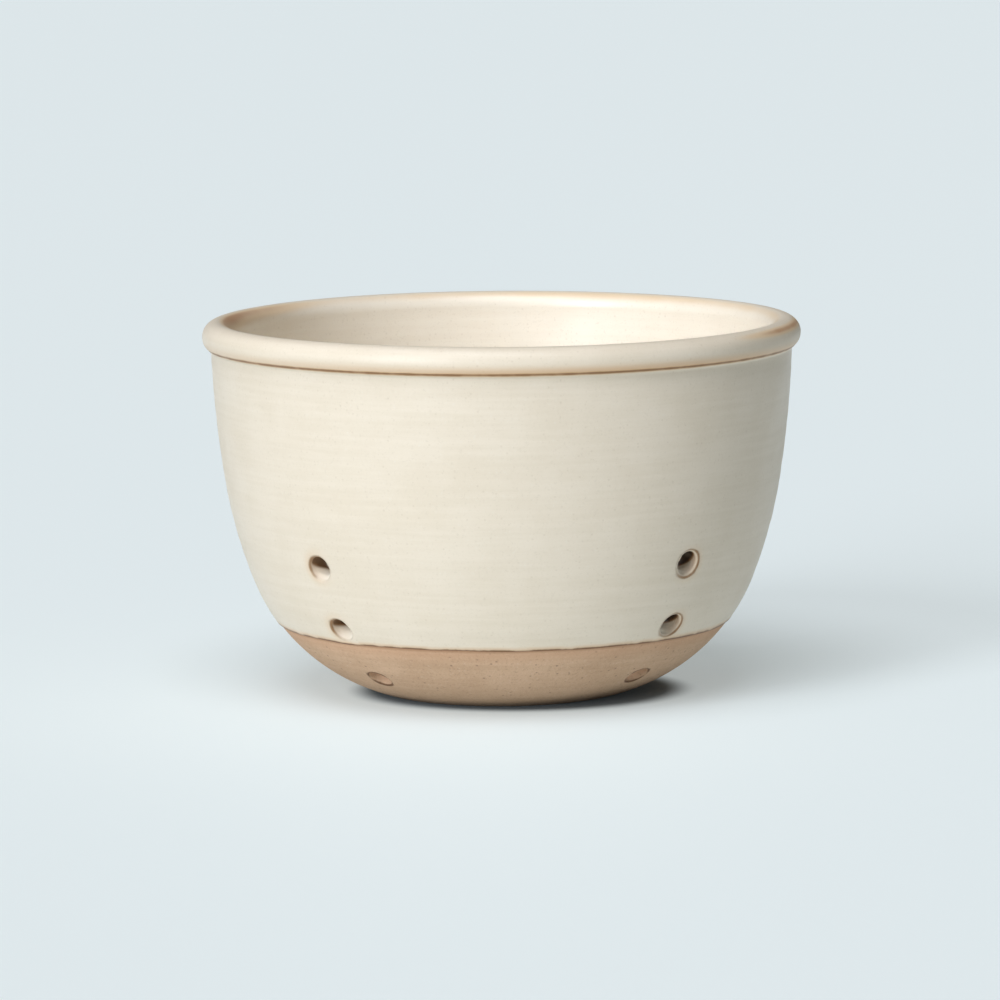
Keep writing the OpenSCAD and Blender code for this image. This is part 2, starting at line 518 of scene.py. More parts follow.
def turned(outline, openings, closed=False, fine=()):
    """A skin turned from an outline, the grid of its points, and the stations of its rows. The windows of
    the openings are left out. Fine gives stretches with their own count of rows."""
    spans = set(fine)
    for opening in openings:
        middle, window = opening.station, opening.hole.window
        spans.add((middle - window, middle + window, 2 * opening.hole.half))
    if not closed:
        spans |= {(0, GUARD, 1), (outline.total - GUARD, outline.total, 1)}
    rows = [np.array([0.0])]
    for low, high, cells in sorted(spans):
        if low > rows[-1][-1]:
            rows.append(outline.even(rows[-1][-1], low)[1:])
        rows.append(np.linspace(low, high, cells + 1)[1:])
    if rows[-1][-1] < outline.total:
        rows.append(outline.even(rows[-1][-1], outline.total)[1:])
    rows = np.concatenate(rows)
    if closed:
        rows = rows[:-1]
    kept, filled = np.ones((2, len(rows), COLUMNS), bool)
    for opening in openings:
        hole = opening.hole
        low, high = opening.rows_taken(rows)
        columns = (hole.column + np.arange(-hole.half, hole.half)) % COLUMNS
        kept[low + 1:high, columns[1:]] = False
        filled[low:high, columns] = False
    skin = Skin()
    grid = np.full((len(rows), COLUMNS), -1)
    theta, station = np.meshgrid(math.tau * np.arange(COLUMNS) / COLUMNS, rows)
    grid[kept] = skin.add(*outline.place(theta[kept], station[kept]))
    level, column = np.nonzero(filled if closed else filled[:-1])
    above, beside = (level + 1) % len(rows), (column + 1) % COLUMNS
    skin.faces += list(zip(
        grid[level, column], grid[level, beside], grid[above, beside], grid[above, column]))
    return skin, grid, rows


def tube(skin, opening, ring, end_points, steps, end_ring=None, waist=0.0):
    """The wall of a hole from a ring of the skin to other points, as rings, or to another ring. A waist
    draws it in halfway, most on the lower side."""
    start_points = np.vstack(skin.points)[ring]
    inwards = opening.inwards(start_points)
    lower = np.clip(inwards @ opening.hole.sides()[1], 0, 1)
    drawn_in = (waist * (UPPER_WAIST + (1 - UPPER_WAIST) * lower))[:, None] * inwards
    for share in np.linspace(0, 1, steps + 1)[1:]:
        if share == 1 and end_ring is not None:
            skin.bridge(ring, end_ring)
            break
        bulge = math.sqrt(max(0, math.sin(math.pi * share))) * drawn_in
        ring = skin.add(start_points + share * (end_points - start_points) + bulge, inwards, ring)


def thickened(points, normals, faces, thickness):
    """A closed shell: the faces, the same faces further back, and a strip along every open edge."""
    count = len(points)
    starts, ends = faces.ravel(), np.roll(faces, -1, axis=1).ravel()
    ways = set(zip(starts.tolist(), ends.tolist()))
    open_edges = np.array([(a, b) for a, b in ways if (b, a) not in ways])
    first, second = open_edges.T
    strips = np.column_stack([second, first, first + count, second + count])
    shell = np.vstack([points, points - thickness * normals])
    return shell, np.vstack([faces, faces[:, ::-1] + count, strips]), open_edges


def half_turned(opening):
    """The order in which the other end of a hole's wall meets a ring, since its window is mirrored."""
    count = 8 * opening.hole.half
    return (3 * count // 4 - np.arange(count)) % count


# What the maker's hand and the kiln left, and shade and light painted at the holes and the rim

# Size, count round the pot and start of the waves by which it is out of round and out of level
OUT_OF_ROUND = ((0.0011, 2, 0.6), (0.0006, 3, -1.1))
OUT_OF_LEVEL = ((0.10, 1, 2.0), (0.07, 3, 0.7))
# The same for the waves of the glaze line, in millimetres, and how far above it they fade
LINE_WAVES = ((0.10, 3, 0.8), (0.06, 7, 2.2), (0.04, 17, 0.0))
LINE_FADE = 1.5
# Size, pitch, turns and start of the spirals of throwing rings
THROWING_RINGS = ((0.018, 5.3, 1, 0.4), (0.014, 8.9, -1, 2.1), (0.010, 3.7, 2, 4.0))


def bell(distance, width):
    """1 at no distance, falling off smoothly over a width."""
    return np.exp(-(distance / width) ** 2)


def waves(theta, parts, shape):
    """Sum of waves round the pot."""
    return sum(size * shape(count * theta + start) for size, count, start in parts)


def strayed(points):
    """Points with the holes moved to where the hand cut them."""
    moved = points.copy()
    for hole in WALL_HOLES:
        turn, rise = hole.sides()
        offset = points - hole.mouth_point()
        beside = np.hypot(offset @ turn, offset @ rise)
        near = (np.abs(offset @ hole.axis_way()) < 2 * WALL) * np.exp(-(beside / STRAY_REACH) ** 4)
        moved += near[:, None] * (hole.stray[0] * turn + hole.stray[1] * rise)
    return moved


def wobble(points):
    """Points of a thrown pot: a little out of round and out of level, more so towards the rim."""
    theta = np.arctan2(points[:, 1], points[:, 0])
    share = points[:, 2] / HEIGHT
    stretch = 1 + share * waves(theta, OUT_OF_ROUND, np.cos)
    lift = share ** 2 * waves(theta, OUT_OF_LEVEL, np.cos)
    return np.column_stack([points[:, 0] * stretch, points[:, 1] * stretch, points[:, 2] + lift])


def throwing_rings(points):
    """Height of the faint spiral ridges that fingers leave in a thrown wall."""
    theta = np.arctan2(points[:, 1], points[:, 0])
    return sum(
        size * np.sin(math.tau * points[:, 2] / pitch + turns * theta + start)
        for size, pitch, turns, start in THROWING_RINGS)


@dataclass
class HoleLook:
    """How the holes of one side look: how strong the painted shade is in the bore, the depth where it takes
    up the upper half, how fast it grows from there, how soft its edge is, how much pale thick glaze and
    painted light lie below it, and the turn round the lip, the width and the fading at the bottom of the
    brown line there."""
    darkening: float
    start: float
    reach: float
    blur: float
    pooled_and_painted_light: float
    lip_turn: float
    lip_width: float
    lip_fade: float


# Looks of the holes on each side: painted shade and light in the bores, and brown lines on the lips
LEFT_HOLE_LOOK = HoleLook(
    darkening=0.66, start=0.6, reach=0.28, blur=0.5, pooled_and_painted_light=1.0, lip_turn=45, lip_width=0.55, lip_fade=0.6)
RIGHT_HOLE_LOOK = HoleLook(
    darkening=1.0, start=1.2, reach=0.65, blur=0.8, pooled_and_painted_light=0.8, lip_turn=10, lip_width=0.4, lip_fade=0.0)
# The brown line on the lips of holes in bare clay
BARE_LIP_TURN = 30
BARE_LIP_WIDTH = 0.42
# Least share of the brown line, away from where it is strongest, in glaze and in clay
GLAZE_LIP_LEAST = 0.4
CLAY_LIP_LEAST = 0.35
# How far from a hole its glaze is tinted
HALO_WIDTH = 1.3
# Depth over which painted shade sets in, and depth, width and share of the brown along the outer side
BORE_SHADE_ONSET = 0.6
SIDE_BROWN_DEPTH = 0.7
SIDE_BROWN_SHARE = 0.35
# Depths at which the pale thick glaze and painted light in a bore start and are full
PALE_BORE_START = 0.2
PALE_BORE_FULL = 0.7
# Slack at the edges of the painted shade
SLACK = 0.1


def hole_marks(points, holes, coat):
    """Values from 0 to 1 at holes under a coat: lip is the brown line on the edge, halo the tint of the skin
    about it, bore the painted shade inside, mostly on the upper side and deeper in, and
    pooled_and_painted_light the pale thick glaze there, paler as painted light, or painted light alone in
    bare clay."""
    marks = {name: np.zeros(len(points)) for name in ("lip", "halo", "bore", "pooled_and_painted_light")}
    for hole in holes:
        turn, rise = hole.sides()
        offset = points - hole.mouth_point()
        depth = -(offset @ hole.axis_way())
        beside = np.hypot(offset @ turn, offset @ rise)
        near = (beside < 3 * HOLE_R) & (np.abs(depth) < 2 * WALL)
        within = beside < HOLE_R + hole.edge
        away = math.copysign(1, math.cos(hole.theta) * math.sin(hole.theta))
        outer = 0.5 - 0.5 * away * (offset @ turn) / np.maximum(beside, GUARD)
        upper = (offset @ rise) / np.maximum(beside, GUARD)
        hole_look = RIGHT_HOLE_LOOK if math.cos(hole.theta) > 0 else LEFT_HOLE_LOOK
        if hole.lined:
            lip_turn, lip_width = math.radians(hole_look.lip_turn), hole_look.lip_width
            weight = GLAZE_LIP_LEAST + (1 - GLAZE_LIP_LEAST) * outer
            weight = weight * (1 - hole_look.lip_fade * np.maximum(-upper, 0))
        else:
            lip_turn, lip_width = math.radians(BARE_LIP_TURN), BARE_LIP_WIDTH
            weight = CLAY_LIP_LEAST + (1 - CLAY_LIP_LEAST) * np.abs(upper)
        lip_out = HOLE_R + hole.edge * (1 - math.sin(lip_turn))
        lip_depth = hole.edge * (1 - math.cos(lip_turn)) - coat
        lip_gap = np.hypot(beside - lip_out, depth - lip_depth)
        # Painted shade in the bore: darker on the upper side and deeper in
        darkening = np.clip((upper + hole_look.reach * (depth - hole_look.start) + SLACK) / hole_look.blur, 0, 1)
        darkening = darkening * np.clip((depth + SLACK) / BORE_SHADE_ONSET, 0, 1)
        side_brown = SIDE_BROWN_SHARE * outer * bell(depth - SIDE_BROWN_DEPTH, SIDE_BROWN_DEPTH)
        # Pale thick glaze in the bore, paler as painted light; in bare clay, painted light alone
        filled = np.clip((depth + coat - PALE_BORE_START) / (PALE_BORE_FULL - PALE_BORE_START), 0, 1)
        found = {
            "lip": weight * bell(lip_gap, lip_width),
            "halo": outer * bell(np.maximum(beside - HOLE_R - hole.edge, 0), HALO_WIDTH),
            "bore": within * hole_look.darkening * np.maximum(darkening, side_brown),
            "pooled_and_painted_light": within * hole_look.pooled_and_painted_light * filled,
        }
        for name, values in found.items():
            marks[name] = np.maximum(marks[name], near * values)
    return marks


def section_distance(points, spot):
    """Distance in the half section from points to a spot."""
    radius = np.hypot(points[:, 0], points[:, 1])
    return np.hypot(radius - spot[0], points[:, 2] - spot[1])


def bead_angle(points):
    """Degrees round the bead's section from the crest, outwards."""
    radius = np.hypot(points[:, 0], points[:, 1])
    return np.degrees(np.arctan2(radius - BEAD_C[0], points[:, 2] - BEAD_C[1]))


# Where glaze breaks on the rim, in degrees round the bead from its crest: a line inside and a band outside
RIM_BREAK = -32
RIM_BREAK_INNER = 32
RIM_BREAK_OUTER = 20
RIM_BAND = 44
RIM_BAND_WIDTH = 18
# Middles and widths in degrees round the pot: of painted shade at the left, less line behind it, and the
# band
LEFT_TURN, LEFT_WIDTH = 170, 24
BACK_TURN, BACK_WIDTH = 122, 20
BAND_TURN, BAND_WIDTH = -15, 22
# Strength of the line, what it gains as painted shade at the left or loses elsewhere, and that of the band
BREAK_SHARE = 0.54
LEFT_PAINTED_SHADE = 0.34
RIGHT_LESS = 0.2
BACK_LESS = 0.2
BAND_SHARE = 0.94
# How much further out the line lies at the left, and how much further it spreads inwards, as painted shade
LEFT_SHIFT = 4
LEFT_SPREAD = 22
# How far beyond its coat a point still belongs to the rim
RIM_ROOM = 0.5


def rim_share(points, coat):
    """Values from 0 to 1 where glaze breaks over the inner side of the crest, falling off to both sides. It
    is stronger and wider on the left, where the extra is painted shade, and a band of it lies on the outer
    side at the right end."""
    theta = np.degrees(np.arctan2(points[:, 1], points[:, 0]))
    angle = bead_angle(points)
    near = section_distance(points, BEAD_C) < BEAD_R + 2 * coat + RIM_ROOM
    left = bell((theta - LEFT_TURN + 180) % 360 - 180, LEFT_WIDTH)
    right = np.maximum(np.cos(np.radians(theta)), 0) ** 4
    back = bell(theta - BACK_TURN, BACK_WIDTH)
    share = BREAK_SHARE + LEFT_PAINTED_SHADE * left - RIGHT_LESS * right - BACK_LESS * back
    past_break = angle - RIM_BREAK - LEFT_SHIFT * left
    spread = np.where(past_break > 0, RIM_BREAK_OUTER, RIM_BREAK_INNER + LEFT_SPREAD * left)
    band_end = np.exp(-((theta - BAND_TURN) / BAND_WIDTH) ** 4)
    band = BAND_SHARE * band_end * bell(angle - RIM_BAND, RIM_BAND_WIDTH)
    return near * np.maximum(share * bell(past_break, spread), band)


# Pieces

def placed(name, data):
    """A new object in the scene."""
    made = bpy.data.objects.new(name, data)
    bpy.context.scene.collection.objects.link(made)
    return made


def make_piece(name, points, faces, node, material, marks=(), sharp=()):
    """A Blender object from millimetre points, with named values on its points for the material to read."""
    mesh = bpy.data.meshes.new(name)
    mesh.from_pydata((wobble(strayed(points)) * MM).tolist(), [], faces.tolist())
    mesh.polygons.foreach_set("use_smooth", np.ones(len(mesh.polygons), bool))
    for mark, values in dict(marks).items():
        attribute = mesh.attributes.new(mark, "FLOAT", "POINT")
        attribute.data.foreach_set("value", np.asarray(values, np.float32))
    if len(sharp):
        ends = np.zeros(2 * len(mesh.edges), np.int32)
        mesh.edges.foreach_get("vertices", ends)
        wanted = {tuple(sorted(edge)) for edge in np.asarray(sharp).tolist()}
        flags = [tuple(sorted(edge)) in wanted for edge in ends.reshape(-1, 2).tolist()]
        attribute = mesh.attributes.new("sharp_edge", "BOOLEAN", "EDGE")
        attribute.data.foreach_set("value", flags)
    mesh.update()
    mesh.materials.append(material)
    piece = placed(name, mesh)
    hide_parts(node)
    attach(piece, "root")
    return piece


# The brown line under the bead: its slope on the bead, half its zone of finer rows, and its width
LINE_SLOPE = 46
LINE_ZONE = 0.9
LINE_ROWS = 14
LINE_WIDTH = 0.56
GROOVE_DEPTH = 0.12
GROOVE_WIDTH = 0.3
# The blush above it: its slope on the bead, its width, and the turn about which it is strongest
BLUSH_SLOPE = LINE_SLOPE + 12
BLUSH_WIDTH = 1.3
BLUSH_LEAST = 0.4
BLUSH_TURN = -70
BLUSH_REACH = 55
# How far the dark hem of the outer glaze fades upwards
HEM_FADE = 0.7
# Turn inside the crest over which the cream gives way to the liner's colour, in degrees
CREST_BLEND = 85
# Width and strength of the thin liner glaze round holes
LINER_LIP_WIDTH = 0.8
LINER_LIP = 0.6


def make_coat(name, points, normals, faces, node, material, marks):
    """A glaze piece: a thin shell that carries the same values on its face and its back."""
    shell, faces, edges = thickened(points, normals, faces, BACK_SHARE * GLAZE_T)
    marks = {mark: np.tile(values, 2) for mark, values in marks.items()}
    return make_piece(name, shell, faces, node, material, marks, edges)


def outer_glaze(material):
    """The cream coat, with the sleeves in the lined holes and a fine groove under the bead."""
    outline = outer_coat_outline()
    openings = [Opening(outline, hole, AT_MOUTH) for hole in WALL_HOLES if hole.lined]
    line_spot = BEAD_C + (BEAD_R + GLAZE_T) * normal_at(LINE_SLOPE)
    line_station = outline.length[np.argmin(np.linalg.norm(outline.points - line_spot, axis=1))]
    fine = [(line_station - LINE_ZONE, line_station + LINE_ZONE, LINE_ROWS)]
    skin, grid, rows = turned(outline, openings, fine=fine)
    inner_clay = Outline(*inner_wall(0, HOLE_R + FOOT_EDGE))
    for opening in openings:
        hole = opening.hole
        ring = opening.let_in(skin, grid, rows, HOLE_R, hole.edge)
        angles = hole.angles()
        end = Opening(inner_clay, hole, AT_END).ring(-angles, hole.radii(angles, HOLE_R))
        tube(skin, opening, ring, inner_clay.place(*end)[0], GLAZE_BORE_RINGS, waist=BORE_WAIST)
    points, normals, faces = skin.arrays()
    theta = np.arctan2(points[:, 1], points[:, 0])
    above = np.maximum(points[:, 2] - LINE_Z, 0)
    points[:, 2] += waves(theta, LINE_WAVES, np.sin) * np.exp(-above / LINE_FADE)
    line_gap = section_distance(points, line_spot)
    blush_spot = BEAD_C + (BEAD_R + GLAZE_T) * normal_at(BLUSH_SLOPE)
    blush_share = BLUSH_LEAST + (1 - BLUSH_LEAST) * bell(np.degrees(theta) - BLUSH_TURN, BLUSH_REACH)
    marks = hole_marks(points, WALL_HOLES, GLAZE_T)
    marks["rim"] = rim_share(points, GLAZE_T)
    marks["corner"] = bell(line_gap, LINE_WIDTH)
    marks["blush"] = blush_share * bell(section_distance(points, blush_spot), BLUSH_WIDTH)
    marks["hem"] = np.exp(-above / HEM_FADE)
    groove = GROOVE_DEPTH * bell(line_gap, GROOVE_WIDTH)
    points = points + (throwing_rings(points) - groove)[:, None] * normals
    return make_coat(
        "outer_glaze_coat", points, normals, faces, "outer_glaze", material, marks)


def inner_glaze(material):
    """The liner coat, which is open at every hole."""
    outline = inner_coat_outline()
    openings = [Opening(outline, hole, AT_END) for hole in WALL_HOLES + FLOOR_HOLES]
    skin, grid, rows = turned(outline, openings)
    for opening in openings:
        opening.let_in(skin, grid, rows, HOLE_R, GLAZE_T)
    points, normals, faces = skin.arrays()
    lips = bell(np.hypot(points[:, 0], points[:, 1]) - HOLE_R, LINER_LIP_WIDTH)
    for opening in openings:
        middle = swung(outline.at(opening.station), opening.hole.theta)
        gap = np.linalg.norm(points - middle, axis=1) - HOLE_R
        lips = np.maximum(lips, bell(np.maximum(gap, 0), LINER_LIP_WIDTH))
    near_crest = section_distance(points, BEAD_C) < BEAD_R + 2 * GLAZE_T
    crest = near_crest * np.clip(1 + bead_angle(points) / CREST_BLEND, 0, 1)
    marks = {"lip": LINER_LIP * lips, "rim": rim_share(points, GLAZE_T), "crest": crest}
    points = points + throwing_rings(points)[:, None] * normals
    return make_coat(
        "inner_glaze_coat", points, normals, faces, "inner_glaze", material, marks)


def stoneware(material):
    """The clay pot, closed all round, with the bores of its holes."""
    outline = clay_outline()
    holes = WALL_HOLES + FLOOR_HOLES
    mouths = [Opening(outline, hole, AT_MOUTH) for hole in holes]
    ends = [Opening(outline, hole, AT_END) for hole in holes]
    skin, grid, rows = turned(outline, mouths + ends, closed=True)
    for mouth, end in zip(mouths, ends):
        lined = mouth.hole.lined
        radius = HOLE_R + GLAZE_T if lined else HOLE_R
        ring = mouth.let_in(skin, grid, rows, radius, 0 if lined else HOLE_EDGE)
        end_ring = end.let_in(skin, grid, rows, radius, 0)[half_turned(end)]
        tube(skin, mouth, ring, np.vstack(skin.points)[end_ring], CLAY_BORE_RINGS, end_ring)
    points, _, faces = skin.arrays()
    marks = hole_marks(points, [hole for hole in holes if not hole.lined], 0)
    marks = {name: marks[name] for name in ("lip", "pooled_and_painted_light")}
    return make_piece("stoneware_pot", points, faces, "stoneware_body", material, marks)


# Materials

class Shader:
    """The nodes of a new material or sky, made one at a time, and the colour so far."""

    def __init__(self, owner):
        owner.use_nodes = True
        self.owner = owner
        self.tree = owner.node_tree
        self.tree.nodes.clear()
        self.colour = None
        self.coordinates = self.node("ShaderNodeTexCoord")["Object"]

    def node(self, kind, settings=(), numbered=(), **named):
        """Adds a node and returns its outputs. Its inputs go by number or by name, and each is a value or
        another node's output."""
        made = self.tree.nodes.new(kind)
        for key, value in dict(settings).items():
            setattr(made, key, value)
        inputs = dict(numbered)
        inputs.update((key.replace("_", " "), value) for key, value in named.items())
        for key, value in inputs.items():
            if isinstance(value, bpy.types.NodeSocket):
                self.tree.links.new(value, made.inputs[key])
            else:
                made.inputs[key].default_value = value
        return made.outputs

    def stretched(self, scale):
        """Object coordinates, scaled."""
        return self.node("ShaderNodeMapping", Vector=self.coordinates, Scale=scale)[0]

    def noise(self, scale, detail=3.0, roughness=0.5, vector=None):
        return self.node(
            "ShaderNodeTexNoise", Vector=vector or self.coordinates, Scale=scale, Detail=detail,
            Roughness=roughness)[0]

    def ranged(self, value, low, high, to_low=0.0, to_high=1.0):
        """A value mapped smoothly from one range to another, and held within it."""
        return self.node(
            "ShaderNodeMapRange", {"interpolation_type": "SMOOTHSTEP"}, Value=value, From_Min=low,
            From_Max=high, To_Min=to_low, To_Max=to_high)[0]

    def math(self, kind, first, second):
        return self.node("ShaderNodeMath", {"operation": kind}, {0: first, 1: second})[0]

    def times(self, first, second):
        return self.math("MULTIPLY", first, second)

    def mix(self, share, first, second):
        return self.node("ShaderNodeMix", {"data_type": "RGBA"}, {0: share, 6: first, 7: second})[2]

    def tint(self, share, colour):
        """Lays a share of a colour over the one so far."""
        self.colour = self.mix(share, self.colour, colour)

    def mark(self, name):
        """A value that the mesh holds on its points."""
        return self.node("ShaderNodeAttribute", {"attribute_name": name})["Fac"]

    def specks(self, scale, size, sparse):
        """Small dots at random places, of which a share is left out."""
        cells = self.node("ShaderNodeTexVoronoi", Vector=self.coordinates, Scale=scale)
        dots = self.ranged(cells["Distance"], 0.35 * size, size, 1.0, 0.0)
        chosen = self.node("ShaderNodeSeparateColor", Color=cells["Color"])[0]
        return self.times(dots, self.ranged(chosen, sparse, sparse + 0.05))

    def bump(self, height, distance, **normal):
        return self.node("ShaderNodeBump", Height=height, Distance=distance, **normal)[0]

    def surface(self, roughness, **inputs):
        """Ends a material in a surface of the colour so far."""
        shade = self.node(
            "ShaderNodeBsdfPrincipled", Base_Color=self.colour, Roughness=roughness, **inputs)
        self.node("ShaderNodeOutputMaterial", Surface=shade[0])


def rgb(red, green, blue):
    return (red, green, blue, 1.0)


# Colours of the glazes
CREAM = rgb(0.757, 0.665, 0.54)
CREAM_DEEP = rgb(0.717, 0.624, 0.495)
# The liner: the cream painted lighter, as painted light for the inside of the bowl
LINER_PAINTED_LIGHT = rgb(0.925, 0.85, 0.725)
LINER_DEEP_PAINTED_LIGHT = rgb(0.895, 0.81, 0.68)
GRAIN_DARK = rgb(0.48, 0.41, 0.31)
GRAIN_PALE = rgb(0.78, 0.75, 0.68)
IRON_SPECK = rgb(0.36, 0.25, 0.14)
RIM_TAN = rgb(0.74, 0.53, 0.31)
RIM_BROWN = rgb(0.44, 0.20, 0.09)
# Pale thick glaze in the bores, paler still as painted light
POOLED_GLAZE_AND_PAINTED_LIGHT = rgb(0.98, 0.90, 0.76)
HALO_TAN = rgb(0.66, 0.42, 0.21)
BLUSH_TAN = rgb(0.68, 0.43, 0.23)
HEM_TAN = rgb(0.66, 0.43, 0.24)
HEM_DARK = rgb(0.185, 0.092, 0.04)
SEAM_RUST = rgb(0.52, 0.27, 0.10)
SEAM_DARK = rgb(0.20, 0.095, 0.032)
LIP_BROWN = rgb(0.25, 0.125, 0.045)
# Painted shade in the bores
BORE_SHADE_BROWN = rgb(0.32, 0.17, 0.08)
BORE_SHADE_DARK = rgb(0.04, 0.02, 0.008)

# Colours of the clay, and heights over which it gets painted shade by the foot and changes by the glaze line
CLAY = rgb(0.495, 0.322, 0.198)
CLAY_PALE = rgb(0.59, 0.397, 0.258)
SAND_DARK = rgb(0.30, 0.20, 0.13)
SAND_PALE = rgb(0.64, 0.50, 0.385)
GROG = rgb(0.16, 0.10, 0.06)
FOOT_PAINTED_SHADE = rgb(0.36, 0.24, 0.145)
FLUSH_RED = rgb(0.60, 0.345, 0.205)
BRINK_BROWN = rgb(0.30, 0.15, 0.07)
# Painted light in the bores of bare holes
BORE_CLAY_PAINTED_LIGHT = rgb(0.68, 0.47, 0.32)
LIP_STAIN = rgb(0.12, 0.055, 0.022)
FOOT_SHADE_Z = 12
FLUSH_REACH = 5
BRINK_REACH = 0.9


def glaze_material(name, pale, deep, outer):
    """Satin cream glaze: faint bands from throwing, fine specks, and rust where it runs thin on edges. Part
    of the rust at the rim's left is painted shade, the bores hold painted shade and light, and the liner's
    colours are painted lighter, as painted light inside the bowl.
    """
    s = Shader(bpy.data.materials.new(name))
    bands = s.noise(1.0, 4.0, 0.6, s.stretched((30, 30, 700)))
    cloud = s.noise(60.0, 4.0, 0.6)
    grain = s.noise(1600.0, 2.0, 0.6)
    tone = s.math("ADD", s.times(bands, 0.5), s.times(cloud, 0.5))
    # The liner's painted light gives way to the cream towards the crest
    if not outer:
        pale = s.mix(s.mark("crest"), pale, CREAM)
        deep = s.mix(s.mark("crest"), deep, CREAM_DEEP)
    s.colour = s.mix(s.ranged(tone, 0.36, 0.64), pale, deep)
    s.tint(s.ranged(grain, 0.55, 0.8, 0.0, 0.22), GRAIN_DARK)
    s.tint(s.ranged(grain, 0.2, 0.42, 0.25, 0.0), GRAIN_PALE)
    s.tint(s.times(s.specks(700.0, 0.26, 0.7), 0.13), IRON_SPECK)
    patchy = s.ranged(s.noise(150.0, 3.0, 0.6), 0.3, 0.7, 0.6, 1.15)
    # Rust where the glaze breaks on the rim, and painted shade at the rim's left
    rim = s.times(s.mark("rim"), s.ranged(s.noise(40.0), 0.3, 0.7, 0.75, 1.1))
    s.tint(s.ranged(rim, 0.08, 0.55, 0.0, 0.68), RIM_TAN)
    s.tint(s.ranged(rim, 0.5, 1.0, 0.0, 0.7), RIM_BROWN)
    lip = s.times(s.mark("lip"), patchy)
    if outer:
        # Pale thick glaze in the bores, paler as painted light
        s.tint(s.mark("pooled_and_painted_light"), POOLED_GLAZE_AND_PAINTED_LIGHT)
        s.tint(s.times(s.mark("halo"), 0.32), HALO_TAN)
        s.tint(s.times(s.mark("blush"), 0.75), BLUSH_TAN)
        hem = s.times(s.mark("hem"), s.ranged(s.noise(260.0), 0.3, 0.6, 0.8, 1.1))
        s.tint(s.ranged(hem, 0.1, 0.55, 0.0, 0.6), HEM_TAN)
        s.tint(s.ranged(hem, 0.42, 0.9), HEM_DARK)
        seam = s.times(s.mark("corner"), s.ranged(s.noise(240.0), 0.3, 0.65, 0.8, 1.1))
        s.tint(s.ranged(seam, 0.1, 0.6, 0.0, 0.6), SEAM_RUST)
        s.tint(s.ranged(seam, 0.35, 1.0, 0.0, 0.82), SEAM_DARK)
    s.tint(s.ranged(lip, 0.1, 0.7, 0.0, 0.92), LIP_BROWN)
    if outer:
        # Painted shade in the bores, darkest on the upper side and deeper in
        bore = s.mark("bore")
        s.tint(s.ranged(bore, 0.0, 0.6), BORE_SHADE_BROWN)
        s.tint(s.ranged(bore, 0.3, 1.0), BORE_SHADE_DARK)
    smoothest, roughest = (0.36, 0.45) if outer else (0.37, 0.43)
    roughness = s.ranged(cloud, 0.3, 0.7, smoothest, roughest)
    normal = s.bump(bands, 0.00002, Normal=s.bump(grain, 0.000008))
    s.surface(roughness, Normal=normal, Specular_IOR_Level=0.3 if outer else 0.7)
    return s.owner


def clay_material():
    """Bare fired stoneware: sandy, with turning lines, grog, a flush by the glaze and dark stained lips. It
    has painted shade towards the foot and painted light in the bores.
    """
    s = Shader(bpy.data.materials.new("bare_stoneware"))
    turning = s.noise(1.0, 4.0, 0.6, s.stretched((26, 26, 900)))
    cloud = s.noise(70.0, 4.0, 0.6)
    sand = s.noise(1400.0, 3.0, 0.7)
    tone = s.math("ADD", s.times(turning, 0.4), s.times(cloud, 0.6))
    s.colour = s.mix(s.ranged(tone, 0.32, 0.68), CLAY, CLAY_PALE)
    s.tint(s.ranged(sand, 0.52, 0.75, 0.0, 0.5), SAND_DARK)
    s.tint(s.ranged(sand, 0.25, 0.42, 0.5, 0.0), SAND_PALE)
    s.tint(s.times(s.specks(620.0, 0.26, 0.7), 0.6), GROG)
    height = s.node("ShaderNodeSeparateXYZ", Vector=s.coordinates)["Z"]
    # Painted shade, darker towards the foot
    s.tint(s.ranged(height, 0.0, FOOT_SHADE_Z * MM, 0.4, 0.0), FOOT_PAINTED_SHADE)
    for reach, share, colour in ((FLUSH_REACH, 0.5, FLUSH_RED), (BRINK_REACH, 0.6, BRINK_BROWN)):
        s.tint(s.ranged(height, (LINE_Z - reach) * MM, LINE_Z * MM, 0.0, share), colour)
    # Painted light: paler clay in the bores of bare holes
    s.tint(s.times(s.mark("pooled_and_painted_light"), 0.5), BORE_CLAY_PAINTED_LIGHT)
    darkening = s.times(s.mark("lip"), s.ranged(s.noise(220.0), 0.3, 0.65, 0.5, 1.2))
    s.tint(s.ranged(darkening, 0.2, 0.65, 0.0, 0.92), LIP_STAIN)
    normal = s.bump(turning, 0.00008, Normal=s.bump(sand, 0.00012))
    s.surface(s.ranged(sand, 0.3, 0.7, 0.78, 0.92), Normal=normal)
    return s.owner


# Stage, light and camera

FLOOR_PALE = rgb(0.495, 0.525, 0.525)
FLOOR_GLOW = rgb(0.88, 0.98, 1.0)
GLOW = 0.35
# Painted shadow where the bowl meets the floor: centre and half widths in metres, and its end in half widths
FLOOR_SHADE = rgb(0.25, 0.30, 0.34)
SHADE_GLOW = 0.012
SHADE_CENTRE = (0.004, -0.006)
SHADE_HALVES = (0.036, 0.029)
SHADE_END = 1.25
KEY_COLOUR = (0.94, 0.985, 1.05)
SKY_COLOUR = rgb(1.0, 0.95, 0.88)


